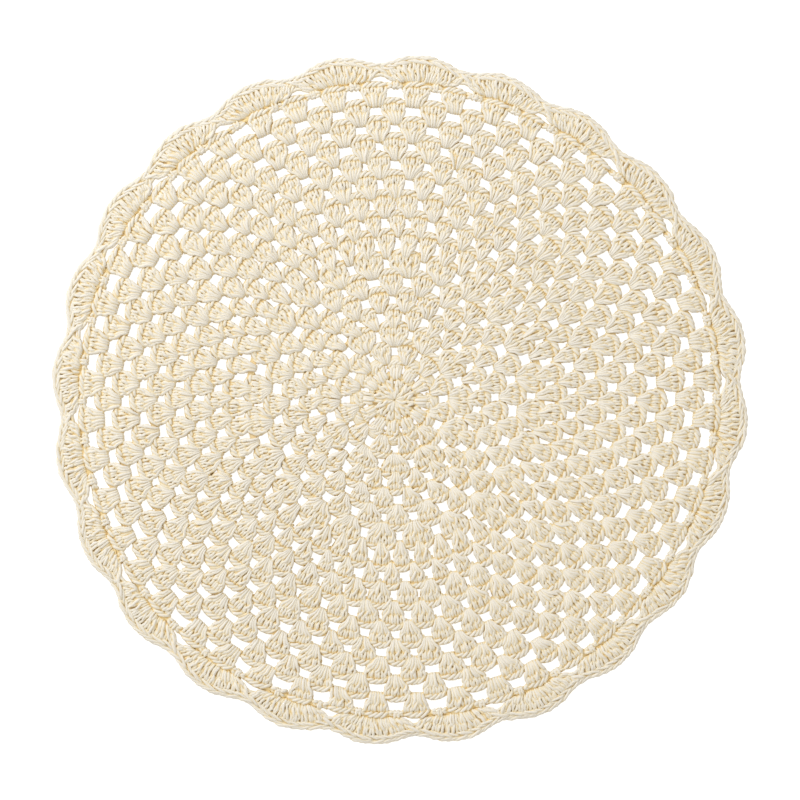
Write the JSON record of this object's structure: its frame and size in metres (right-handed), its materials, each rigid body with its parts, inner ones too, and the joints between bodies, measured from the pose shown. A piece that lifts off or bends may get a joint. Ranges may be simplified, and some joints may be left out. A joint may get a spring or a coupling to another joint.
{
  "type": "crochet placemat",
  "caption": "Round crochet placemat worked in rounds of stitch clusters with open gaps between them and a scalloped shell edge, lying flat.",
  "frame": {"origin": "middle of the bounding box on the surface that the mat lies on", "axes": "+Z up out of the mat's right side, +X to the right and +Y up in the picture"},
  "size_m": [0.3836, 0.3794, 0.005],
  "materials": {
    "cotton": "matte natural cotton yarn, crocheted"
  },
  "bodies": {
    "root": {"mat": "cotton"}
  },
  "joints": []
}
